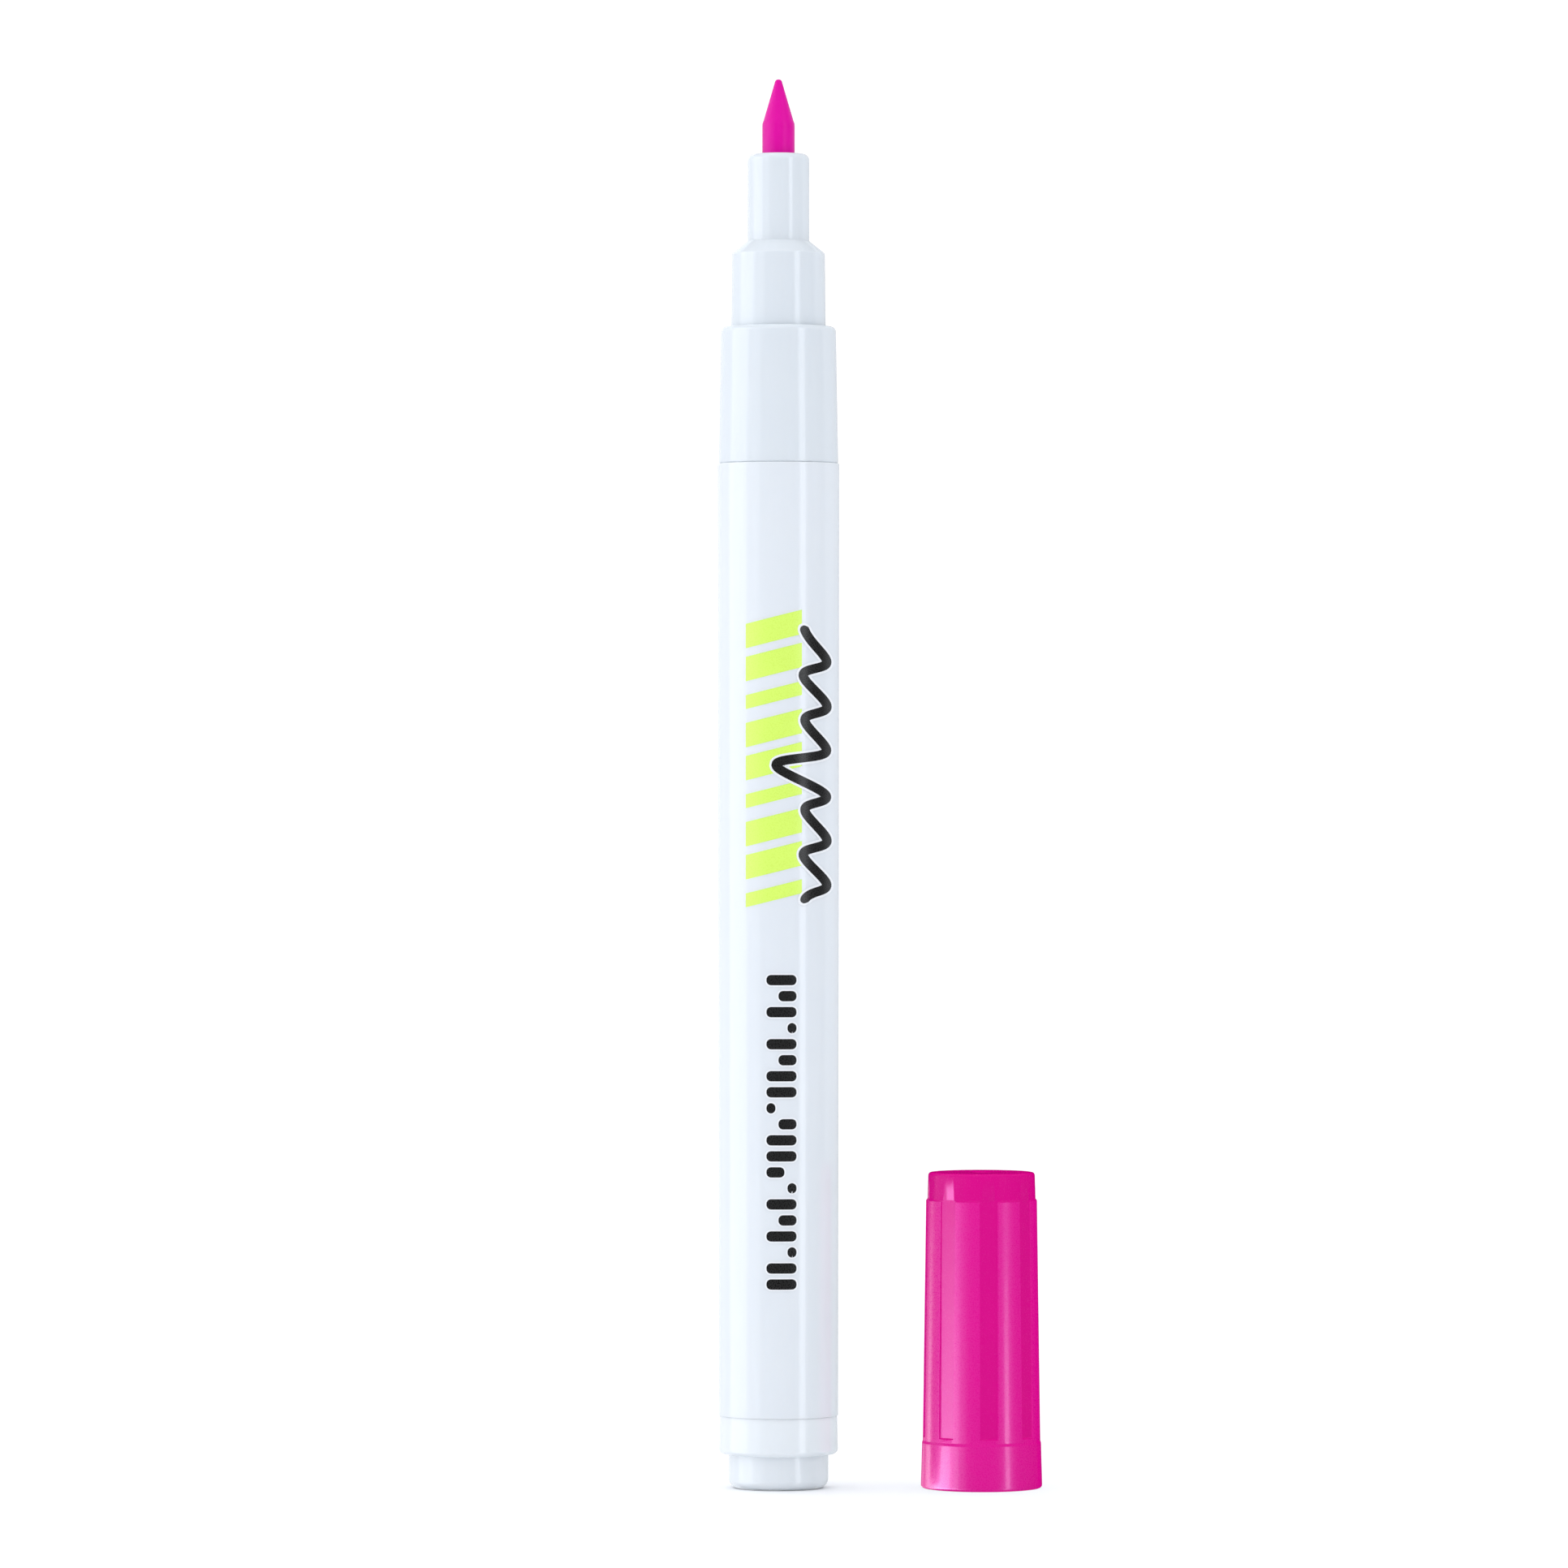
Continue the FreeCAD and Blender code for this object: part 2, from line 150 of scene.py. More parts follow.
class CapSizes(bpy.types.PropertyGroup):
    mouth: length("Mouth radius", "Outer radius at the mouth", 5.6 * MM)
    mouth_round: length("Mouth rounding", "Rounding of the mouth's outer edge", 0.3 * MM)
    band_front: length("Band front radius", "Radius at the end of the plain band", 5.5 * MM)
    band_length: length("Band length", "Height of the plain band at the mouth", 4.15 * MM)
    band_chamfer: length("Band chamfer", "Height of the chamfer above the band", 0.25 * MM)
    land_rear: length("Land rear radius", "Radius of the lands above the band", 5.43 * MM)
    land_front: length("Land front radius", "Radius of the lands at the end ring", 5.125 * MM)
    land_end: length("Land end", "Height where the lands end", 26.55 * MM)
    ring_start: length("Ring start", "Height where the plain end ring starts", 26.72 * MM)
    ring_rear: length("Ring rear radius", "End ring's radius at the lands", 4.99 * MM)
    ring_front: length("Ring front radius", "End ring's radius at the closed end", 4.925 * MM)
    ring_edge: length("End edge", "Rounding of the closed end", 0.3 * MM)
    post_bore: length("Posting bore", "Inner radius at the mouth", 4.65 * MM)
    post_depth: length("Posting depth", "Depth of the bore at the mouth", 3.3 * MM)
    grip_bore: length("Collar bore", "Inner radius that grips the collar", 4.4 * MM)
    grip_depth: length("Collar bore depth", "How deep the collar bore ends", 7.2 * MM)
    liner_bore: length("Liner bore", "Inner radius that holds the liner", 4.0 * MM)
    shell_depth: length("Shell depth", "Height of the roof inside the cap", 27.9 * MM)
    flute_count: IntProperty(name="Flutes", description="Flutes round the cap", default=8, min=3)
    flute_width: length("Flute width", "Width of a flute across its floor", 1.66 * MM)
    flute_rear: length("Flute floor, rear", "Distance of the floor from the axis by the band", 5.19 * MM)
    flute_front: length("Flute floor, front", "Distance of the floor from the axis by the ring", 4.95 * MM)
    flute_start: length("Flute start", "Height where the floor starts", 4.85 * MM)
    flute_ledge: length("Flute ledge", "How far the ledge slopes down to the outside", 0.25 * MM)
    flute_turn: FloatProperty(
        name="Flute turn", description="Turn of the first flute, in degrees", default=6.2
    )


class PrintSizes(bpy.types.PropertyGroup):
    lime_left: length("Hatch left edge", "Left edge of the lime hatch", -3.0 * MM)
    lime_right: length("Hatch right edge", "Right edge of the lime hatch", 2.15 * MM)
    lime_low: length("Hatch lower end", "Height where the hatch starts", 52.8 * MM)
    lime_high: length("Hatch upper end", "Height where the hatch ends", 81.4 * MM)
    lime_bars: IntProperty(name="Hatch bars", description="Slanted bars in the hatch", default=9, min=1)
    wave_centre: length("Wave centre", "Where the wave runs, across the barrel", 3.35 * MM)
    wave_swing: length("Wave swing", "How far the wave swings each way", 0.86 * MM)
    wave_low: length("Wave lower end", "Height where the wave starts", 54.0 * MM)
    wave_high: length("Wave upper end", "Height where the wave ends", 78.7 * MM)
    wave_stroke: length("Wave stroke", "Width of the black stroke", 0.85 * MM)
    wave_halo: length("Wave halo", "White margin on each side of the stroke", 0.2 * MM)
    block_left: length("Block left edge", "Left edge of the black blocks", -1.1 * MM)
    block_right: length("Block right edge", "Right edge of the black blocks", 1.65 * MM)
    block_low: length("Blocks lower end", "Height where the black blocks start", 18.6 * MM)
    ink: length("Ink thickness", "Thickness of one printed layer", 0.008 * MM)


class MarkerColours(bpy.types.PropertyGroup):
    barrel_white: paint("Barrel white", "White plastic of the barrel", "#E6EBF0")
    nose_white: paint("Nose white", "White plastic of the nose section", "#E1E7EC")
    # Lighter than the barrel white, though it is the same plastic: painted fill light against the shade at
    # the foot.
    plug_white_painted_fill: paint("Plug white", "White plastic of the tail plug", "#EAEFF3")
    magenta: paint("Magenta plastic", "Grained faces of the cap moulding", "#E60093")
    # Deeper than the grained magenta, though the cap is one plastic: painted shade in the flutes and on
    # the end ring.
    magenta_painted_shade: paint("Magenta plastic, deep", "Polished faces of the cap moulding", "#DC0088")
    haze: paint("Magenta haze", "Tint of the cap's soft gloss", "#CFC4FF")
    fibre: paint("Nib fibre", "Soaked fibre", "#DE009E")
    fibre_light: paint("Nib fibre, light", "Lighter strands", "#E206A4")
    lime: paint("Lime ink", "Printed hatch", "#DCFF6A")
    black: paint("Black ink", "Printed wave and blocks", "#242424")
    halo: paint("White ink", "Margin round the wave", "#F4F7FB")
    liner: paint("Natural plastic", "Liner and valve mouldings", "#E6E6DE")
    steel: paint("Stainless steel", "Spring and ball", "#C8C8CC")
    rubber: paint("Seal rubber", "Valve seat", "#2A2A2C")
    floor: paint("Floor", "Studio floor", "#F5F6F8")


# ---------------------------------------------------------------- modelling helpers


def deselect_all():
    if bpy.context.mode != "OBJECT":
        bpy.ops.object.mode_set(mode="OBJECT")
    bpy.ops.object.select_all(action="DESELECT")


def only(piece):
    """The piece alone is selected and active."""
    deselect_all()
    piece.select_set(True)
    bpy.context.view_layer.objects.active = piece


def bake_place(piece):
    only(piece)
    bpy.ops.object.transform_apply(location=True, rotation=True, scale=True)


def apply_modifier(piece, kind, **settings):
    only(piece)
    modifier = piece.modifiers.new(kind.title(), kind)
    for name, value in settings.items():
        setattr(modifier, name, value)
    bpy.ops.object.modifier_apply(modifier=modifier.name)


def arc(centre, height, radius, start, end, steps=6):
    """Rings along a quarter or so of a rounded edge, angles in degrees from straight outwards."""
    turns = [math.radians(start + (end - start) * i / steps) for i in range(steps + 1)]
    return [(centre + radius * math.cos(t), height + radius * math.sin(t)) for t in turns]


def turned(name, rings, centre=0.0, first_side=0.0):
    """A circle extruded and scaled from ring to ring, as on a lathe, welded where rings meet."""
    deselect_all()
    radius, height = rings[0]
    bpy.ops.mesh.primitive_circle_add(
        vertices=SIDES, radius=radius, location=(centre, 0, height), rotation=(0, 0, first_side)
    )
    piece = bpy.context.object
    piece.name = name
    piece.data.name = name
    bpy.ops.object.mode_set(mode="EDIT")
    bpy.ops.mesh.select_all(action="SELECT")
    for new_radius, new_height in rings[1:]:
        bpy.ops.mesh.extrude_region_move(
            TRANSFORM_OT_translate={"value": (0, 0, new_height - height)}
        )
        scale = new_radius / radius
        bpy.ops.transform.resize(
            value=(scale, scale, 1), center_override=(centre, 0, new_height)
        )
        radius, height = new_radius, new_height
    bpy.ops.mesh.select_all(action="SELECT")
    bpy.ops.mesh.remove_doubles(threshold=WELD)
    bpy.ops.mesh.normals_make_consistent(inside=False)
    bake_place(piece)
    return piece


def cut(piece, tool):
    """Cuts the tool's shape out of the piece and clears the tool away."""
    apply_modifier(piece, "BOOLEAN", object=tool, operation="DIFFERENCE", solver="EXACT")
    bpy.data.objects.remove(tool)


def move_points(piece, chosen, shift):
    """Moves the points that chosen picks out by their place."""
    only(piece)
    bpy.ops.object.mode_set(mode="EDIT")
    bpy.ops.mesh.select_mode(type="VERT")
    bpy.ops.mesh.select_all(action="DESELECT")
    bpy.ops.object.mode_set(mode="OBJECT")
    for point in piece.data.vertices:
        point.select = chosen(point.co)
    bpy.ops.object.mode_set(mode="EDIT")
    bpy.ops.transform.translate(value=shift)
    bpy.ops.object.mode_set(mode="OBJECT")


def joined(name, pieces):
    only(pieces[0])
    for other in pieces:
        other.select_set(True)
    bpy.ops.object.join()
    pieces[0].name = name
    pieces[0].data.name = name
    return pieces[0]


def soft_edges(piece, width, angle=28):
    """Breaks every crisp edge by the small radius that a mould leaves, and shades it smooth."""
    apply_modifier(
        piece, "BEVEL", width=width, segments=2, limit_method="ANGLE",
        angle_limit=math.radians(angle), miter_outer="MITER_ARC",
    )
    only(piece)
    bpy.ops.object.shade_smooth_by_angle(angle=math.radians(32))
    apply_modifier(piece, "WEIGHTED_NORMAL", weight=70, keep_sharp=True)


def finish_piece(piece, material, body, slot, *stands_for):
    piece.data.materials.clear()
    piece.data.materials.append(material)
    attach(piece, body)
    if stands_for:
        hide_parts(*stands_for)


# ---------------------------------------------------------------- materials


def new_material(name):
    """A new material's empty node tree."""
    material = bpy.data.materials.new(name)
    material.use_nodes = True
    material.node_tree.nodes.clear()
    return material.node_tree


def add(tree, kind, sockets=None, **settings):
    """Adds a node with its settings. Each of sockets gives an input its value or links it to
    another node's output, which is the first one where the node itself is given."""
    item = tree.nodes.new(kind)
    for name, value in settings.items():
        setattr(item, name, value)
    for name, value in (sockets or {}).items():
        if isinstance(value, bpy.types.Node):
            value = value.outputs[0]
        if isinstance(value, bpy.types.NodeSocket):
            tree.links.new(value, item.inputs[name])
        else:
            item.inputs[name].default_value = value
    return item


def close_material(tree, sockets):
    shader = add(tree, "ShaderNodeBsdfPrincipled", sockets)
    add(tree, "ShaderNodeOutputMaterial", {"Surface": shader})


def times(colour, factor):
    """The colour made lighter or darker, and still opaque."""
    return [min(1, c * factor) for c in colour[:3]] + [1.0]


def white_polypropylene(name, white):
    """Polished injection-moulded polypropylene: milky, even, with the faint waviness of a moulded
    wall. The real surface's pores are finer, and are drawn 0.16 mm across to show at all."""
    tree = new_material(name)
    place = add(tree, "ShaderNodeTexCoord").outputs["Object"]
    flow = add(tree, "ShaderNodeTexNoise", {"Vector": place, "Scale": 1 / (9 * MM), "Detail": 3})
    waves = add(tree, "ShaderNodeTexNoise", {"Vector": place, "Scale": 1 / (2.2 * MM), "Detail": 1})
    pores = add(tree, "ShaderNodeTexNoise", {"Vector": place, "Scale": 1 / (0.16 * MM), "Detail": 2})
    cooler = [white[0] * 0.965, white[1] * 0.975, white[2] * 0.985, 1.0]
    shade = add(tree, "ShaderNodeMix", {0: flow, 6: white, 7: cooler}, data_type="RGBA")
    gloss = add(tree, "ShaderNodeMapRange", {
        "Value": pores, "From Min": 0.35, "From Max": 0.65, "To Min": 0.10, "To Max": 0.17,
    })
    wavy = add(tree, "ShaderNodeBump", {"Height": waves, "Distance": 0.006 * MM})
    fine = add(tree, "ShaderNodeBump", {"Height": pores, "Distance": 0.0004 * MM, "Normal": wavy})
    close_material(tree, {
        "Base Color": shade.outputs[2],
        "Roughness": gloss,
        "IOR": 1.49,
        "Subsurface Weight": 0.35,
        "Subsurface Radius": (1.0, 0.95, 0.9),
        "Subsurface Scale": 0.5 * MM,
        "Normal": fine,
    })


def magenta_polypropylene(name, shade, tint, haze, gloss, skin_weight, grain_depth):
    """Moulded polypropylene tinted magenta: a violet haze under a thin clear skin, grained where
    the mould is blasted and smooth where it is polished; the grain shades itself towards the
    outline. A blasted mould's grain is finer, and is drawn 0.11 mm across to show."""
    tree = new_material(name)
    place = add(tree, "ShaderNodeTexCoord").outputs["Object"]
    flow = add(tree, "ShaderNodeTexNoise", {"Vector": place, "Scale": 1 / (6 * MM), "Detail": 3})
    grain = add(tree, "ShaderNodeTexNoise", {
        "Vector": place, "Scale": 1 / (0.11 * MM), "Detail": 2, "Roughness": 0.6,
    })
    waves = add(tree, "ShaderNodeTexNoise", {"Vector": place, "Scale": 1 / (1.8 * MM), "Detail": 1})
    colour = add(tree, "ShaderNodeMix", {0: flow, 6: shade, 7: times(shade, 0.96)}, data_type="RGBA")
    rough = add(tree, "ShaderNodeMapRange", {
        "Value": grain, "From Min": 0.35, "From Max": 0.65,
        "To Min": haze - 0.05, "To Max": haze + 0.07,
    })
    facing = add(tree, "ShaderNodeLayerWeight", {"Blend": 0.5}).outputs["Facing"]
    shine = add(tree, "ShaderNodeMapRange", {
        "Value": facing, "From Min": 0.3, "From Max": 0.66, "To Min": gloss, "To Max": 0.02,
    })
    clear = add(tree, "ShaderNodeMapRange", {
        "Value": facing, "From Min": 0.3, "From Max": 0.66, "To Min": skin_weight, "To Max": 0,
    })
    close_material(tree, {
        "Base Color": colour.outputs[2],
        "Roughness": rough,
        "IOR": 1.49,
        "Specular IOR Level": shine,
        "Specular Tint": tint,
        "Coat Weight": clear,
        "Coat Roughness": 0.06,
        "Coat IOR": 1.49,
        "Normal": add(tree, "ShaderNodeBump", {"Height": grain, "Distance": grain_depth}),
        "Coat Normal": add(tree, "ShaderNodeBump", {"Height": waves, "Distance": 0.004 * MM}),
    })


def soaked_fibre(colours):
    """Bonded polyester fibre soaked with paint: fine strands along the rod, wet between them. Real
    strands are about 0.02 mm across, and are drawn 0.09 mm across to show."""
    tree = new_material(FIBRE)
    place = add(tree, "ShaderNodeTexCoord").outputs["Object"]
    along = add(tree, "ShaderNodeMapping", {"Vector": place, "Scale": (1, 1, 0.06)})
    strands = add(tree, "ShaderNodeTexNoise", {
        "Vector": along, "Scale": 1 / (0.09 * MM), "Detail": 3, "Roughness": 0.6,
    })
    patches = add(tree, "ShaderNodeTexNoise", {"Vector": place, "Scale": 1 / (0.9 * MM), "Detail": 2})
    both = add(tree, "ShaderNodeMath", {0: strands, 1: patches}, operation="MULTIPLY")
    soaked = add(tree, "ShaderNodeMapRange", {
        "Value": both, "From Min": 0.2, "From Max": 0.45, "To Min": 0, "To Max": 0.5,
    })
    first, second = colours.fibre, colours.fibre_light
    shade = add(tree, "ShaderNodeMix", {0: soaked, 6: first, 7: second}, data_type="RGBA")
    rough = add(tree, "ShaderNodeMapRange", {
        "Value": strands, "From Min": 0.35, "From Max": 0.65, "To Min": 0.28, "To Max": 0.42,
    })
    relief = add(tree, "ShaderNodeBump", {"Height": strands, "Distance": 0.012 * MM, "Strength": 0.7})
    close_material(tree, {
        "Base Color": shade.outputs[2],
        "Roughness": rough,
        "IOR": 1.45,
        "Specular IOR Level": 0.15,
        "Normal": relief,
    })


def mottled(name, first, second, scale, rough_low, rough_high, depth, sockets):
    """A material whose colour, roughness and relief all follow one noise of the given scale: its
    size and its detail. The shader's other sockets are given last."""
    size, detail = scale
    tree = new_material(name)
    place = add(tree, "ShaderNodeTexCoord").outputs["Object"]
    grain = add(tree, "ShaderNodeTexNoise", {"Vector": place, "Scale": 1 / size, "Detail": detail})
    shade = add(tree, "ShaderNodeMix", {0: grain, 6: first, 7: second}, data_type="RGBA")
    rough = add(tree, "ShaderNodeMapRange", {
        "Value": grain, "From Min": 0.35, "From Max": 0.65, "To Min": rough_low, "To Max": rough_high,
    })
    close_material(tree, {
        "Base Color": shade.outputs[2],
        "Roughness": rough,
        "Normal": add(tree, "ShaderNodeBump", {"Height": grain, "Distance": depth}),
        **sockets,
    })


def screen_ink(name, colour):
    """Pad-printed ink: an even, slightly glossy film. Its own grain is finer, and is drawn
    0.12 mm across to show."""
    tree = new_material(name)
    place = add(tree, "ShaderNodeTexCoord").outputs["Object"]
    grain = add(tree, "ShaderNodeTexNoise", {"Vector": place, "Scale": 1 / (0.12 * MM), "Detail": 2})
    wash = add(tree, "ShaderNodeTexNoise", {"Vector": place, "Scale": 1 / (2.5 * MM), "Detail": 2})
    shade = add(tree, "ShaderNodeMix", {0: wash, 6: colour, 7: times(colour, 0.94)}, data_type="RGBA")
    rough = add(tree, "ShaderNodeMapRange", {
        "Value": grain, "From Min": 0.35, "From Max": 0.65, "To Min": 0.24, "To Max": 0.34,
    })
    close_material(tree, {
        "Base Color": shade.outputs[2],
        "Roughness": rough,
        "IOR": 1.5,
        "Normal": add(tree, "ShaderNodeBump", {"Height": grain, "Distance": 0.0008 * MM}),
    })


def natural_plastic(colours):
    """Unpigmented moulded plastic: waxy, slightly see-through and matt."""
    first, second = colours.liner, times(colours.liner, 0.9)
    soft = {"IOR": 1.51, "Subsurface Weight": 0.2, "Subsurface Scale": 0.8 * MM}
    mottled(NATURAL, first, second, (2 * MM, 3), 0.32, 0.42, 0.004 * MM, soft)


def drawn_steel(colours):
    """Drawn and polished stainless steel; its faint drawing lines are drawn 0.08 mm apart to show."""
    first, second = colours.steel, times(colours.steel, 0.85)
    mottled(STEEL, first, second, (0.08 * MM, 4), 0.14, 0.26, 0.001 * MM, {"Metallic": 1.0})


def seal_rubber(colours):
    """Moulded nitrile rubber: black and matt, with a fine bloom."""
    first, second = colours.rubber, times(colours.rubber, 1.8)
    mottled(RUBBER, first, second, (0.2 * MM, 3), 0.6, 0.75, 0.004 * MM, {})


def studio_floor_paint(colours):
    """Matt white studio floor: rolled emulsion paint with a faint stipple."""
    tree = new_material(FLOOR)
    place = add(tree, "ShaderNodeTexCoord").outputs["Object"]
    stipple = add(tree, "ShaderNodeTexNoise", {"Vector": place, "Scale": 1 / (3 * MM), "Detail": 3})
    first, second = colours.floor, times(colours.floor, 0.985)
    shade = add(tree, "ShaderNodeMix", {0: stipple, 6: first, 7: second}, data_type="RGBA")
    relief = add(tree, "ShaderNodeBump", {"Height": stipple, "Distance": 0.01 * MM, "Strength": 0.3})
    close_material(tree, {
        "Base Color": shade.outputs[2],
        "Roughness": 0.9,
        "Specular IOR Level": 0.1,
        "Normal": relief,
    })


# ---------------------------------------------------------------- pieces


class MARKER_OT_tail_plug(bpy.types.Operator):
    """Models the plug that closes the tank, with the stub that takes the posted cap"""

    bl_idname = "marker.tail_plug"
    bl_label = "Tail plug"

    def execute(self, context):
        size = context.scene.marker_sizes
        head_low = PLUG_LOW.z + size.stub_length
        seam = BARREL_LOW.z
        hollow, floor = 3.6 * MM, 1.3 * MM
        rings = [
            (POLE, GATE_DEPTH),
            (GATE_FLOOR, GATE_DEPTH),
            (GATE_RIM, 0),
            *arc(size.stub - size.stub_edge, size.stub_edge, size.stub_edge, -90, 0, 8),
            (size.stub, head_low),
            *arc(size.head_rear - size.head_edge, head_low + size.head_edge, size.head_edge, -90, 0),
            (size.head_front, seam),
            (size.tank, seam),
            (size.tank, seam + BEAD_START),
            (size.tank + BEAD_RISE, seam + BEAD_PEAK),
            (size.tank, seam + BEAD_END),
            (size.tank, PLUG_HIGH.z),
            (hollow, PLUG_HIGH.z),
            (hollow, floor),
            (POLE, floor),
        ]
        plug = turned("tail_plug_moulding", rings)
        soft_edges(plug, 0.05 * MM)
        finish_piece(plug, bpy.data.materials[PLUG_WHITE], "pen", "white_shell", "tail_plug")
        return {"FINISHED"}


class MARKER_OT_barrel(bpy.types.Operator):
    """Models the barrel, a slightly tapered tube that is also the tank"""

    bl_idname = "marker.barrel"
    bl_label = "Barrel"

    def execute(self, context):
        size = context.scene.marker_sizes
        low, high = BARREL_LOW.z, BARREL_HIGH.z
        groove = size.tank + BEAD_RISE
        rings = [
            (size.tank, low),
            (size.barrel_rear, low),
            (size.barrel_front, high - size.barrel_chamfer),
            (size.barrel_front - size.barrel_chamfer, high),
            (size.tank, high),
            (size.tank, high - BEAD_START),
            (groove, high - BEAD_PEAK),
            (size.tank, high - BEAD_END),
            (size.tank, low + BEAD_END),
            (groove, low + BEAD_PEAK),
            (size.tank, low + BEAD_START),
            (size.tank, low),
        ]
        barrel = turned(BARREL, rings)
        soft_edges(barrel, 0.05 * MM)
        finish_piece(barrel, bpy.data.materials[BARREL_WHITE], "pen", "white_shell", "barrel")
        return {"FINISHED"}


class MARKER_OT_nose_section(bpy.types.Operator):
    """Models the grip, the collar that the cap clips on and the neck round the nib"""

    bl_idname = "marker.nose_section"
    bl_label = "Nose section"

    def execute(self, context):
        size = context.scene.marker_sizes
        seam = BARREL_HIGH.z
        shoulder = seam + size.grip_length
        collar_top = shoulder + size.collar_length
        neck_low = collar_top + size.cone_length
        top = NOSE_HIGH.z
        edge = size.grip_edge
        rim = size.neck_edge
        valve_bore, pocket = 3.8 * MM, 3 * MM
        pocket_low, pocket_high = 104.8 * MM, 105.4 * MM
        rings = [
            (valve_bore, NOSE_LOW.z),
            (size.tank, NOSE_LOW.z),
            (size.tank, seam - BEAD_END),
            (size.tank + BEAD_RISE, seam - BEAD_PEAK),
            (size.tank, seam - BEAD_START),
            (size.tank, seam),
            (size.seam, seam),
            (size.grip_rear, seam + size.seam_rise),
            *arc(size.grip_front - edge, shoulder - edge, edge, 0, 90),
            (size.collar_rear, shoulder),
            (size.collar_front, collar_top),
            (size.neck, neck_low),
            *arc(size.neck - rim, top - rim, rim, 0, 90, 8),
            (size.nib_bore, top),
            (size.nib_bore, pocket_high),
            (pocket, pocket_high),
            (pocket, pocket_low),
            (valve_bore, pocket_low),
            (valve_bore, NOSE_LOW.z),
        ]
        nose = turned("nose_section_moulding", rings)
        soft_edges(nose, 0.06 * MM)
        finish_piece(nose, bpy.data.materials[NOSE_WHITE], "pen", "white_shell", "nose_section")
        return {"FINISHED"}


class MARKER_OT_nib(bpy.types.Operator):
    """Models the fibre rod with its ground, slightly blunt point"""

    bl_idname = "marker.nib"
    bl_label = "Nib"

    def execute(self, context):
        size = context.scene.marker_sizes
        tip = NIB_HIGH.z
        base = tip - size.nib_point
        shoulder = 0.25 * MM
        lean = math.degrees(math.atan2(size.nib - shoulder, size.nib_point))
        end, blunt = size.nib_tip, 0.04 * MM
        rings = [
            (POLE, NIB_LOW.z),
            (size.nib, NIB_LOW.z),
            (size.nib, base - shoulder),
            (size.nib - 0.01 * MM, base),
            (size.nib - 0.12 * MM, base + 0.3 * MM),
            *arc(blunt, tip - end, end, lean, 84, 6),
            (POLE, tip),
        ]
        nib = turned("fibre_nib", rings)
        soft_edges(nib, 0.05 * MM)
        finish_piece(nib, bpy.data.materials[FIBRE], "nib_and_stem", "dyed_fibre", "nib")
        return {"FINISHED"}


class MARKER_OT_valve_unit(bpy.types.Operator):
    """Gives the hidden valve pieces and the mixing ball their finishes"""

    bl_idname = "marker.valve_unit"
    bl_label = "Valve unit and mixing ball"

    def execute(self, context):
        finishes = {
            "valve_body": NATURAL,
            "valve_retainer": NATURAL,
            "valve_stem": NATURAL,
            "valve_seat": RUBBER,
            "mixing_ball": STEEL,
        }
        for name, finish in finishes.items():
            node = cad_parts[name]
            node.data.materials.clear()
            node.data.materials.append(bpy.data.materials[finish])
        return {"FINISHED"}


class MARKER_OT_valve_spring(bpy.types.Operator):
    """Winds the valve's spring, drawn at rest; in the marker it shortens as the nib is pressed"""

    bl_idname = "marker.valve_spring"
    bl_label = "Valve spring"

    def execute(self, context):
        low, high = (corner.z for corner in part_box("valve_spring"))
        wire, coil, turns, travel = 0.2 * MM, 1.7 * MM, 7, 2 * MM
        deselect_all()
        bpy.ops.mesh.primitive_circle_add(
            vertices=12, radius=wire, location=(coil, 0, low + wire),
            rotation=(math.radians(90), 0, 0),
        )
        spring = bpy.context.object
        spring.name = spring.data.name = "valve_spring_wire"
        bake_place(spring)
        apply_modifier(
            spring, "SCREW", screw_offset=(high - low - 2 * wire) / turns, iterations=turns,
            steps=32, render_steps=32, use_smooth_shade=True,
        )
        only(spring)
        bpy.ops.object.mode_set(mode="EDIT")
        bpy.ops.mesh.select_all(action="DESELECT")
        bpy.ops.mesh.select_mode(type="EDGE")
        bpy.ops.mesh.select_non_manifold(
            extend=False, use_wire=False, use_multi_face=False, use_non_contiguous=False,
            use_verts=False,
        )
        bpy.ops.mesh.edge_face_add()
        bpy.ops.mesh.select_all(action="SELECT")
        bpy.ops.mesh.normals_make_consistent(inside=False)
        bpy.ops.object.mode_set(mode="OBJECT")
        finish_piece(spring, bpy.data.materials[STEEL], "pen", "spring_steel", "valve_spring")
        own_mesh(spring)
        return {"FINISHED"}


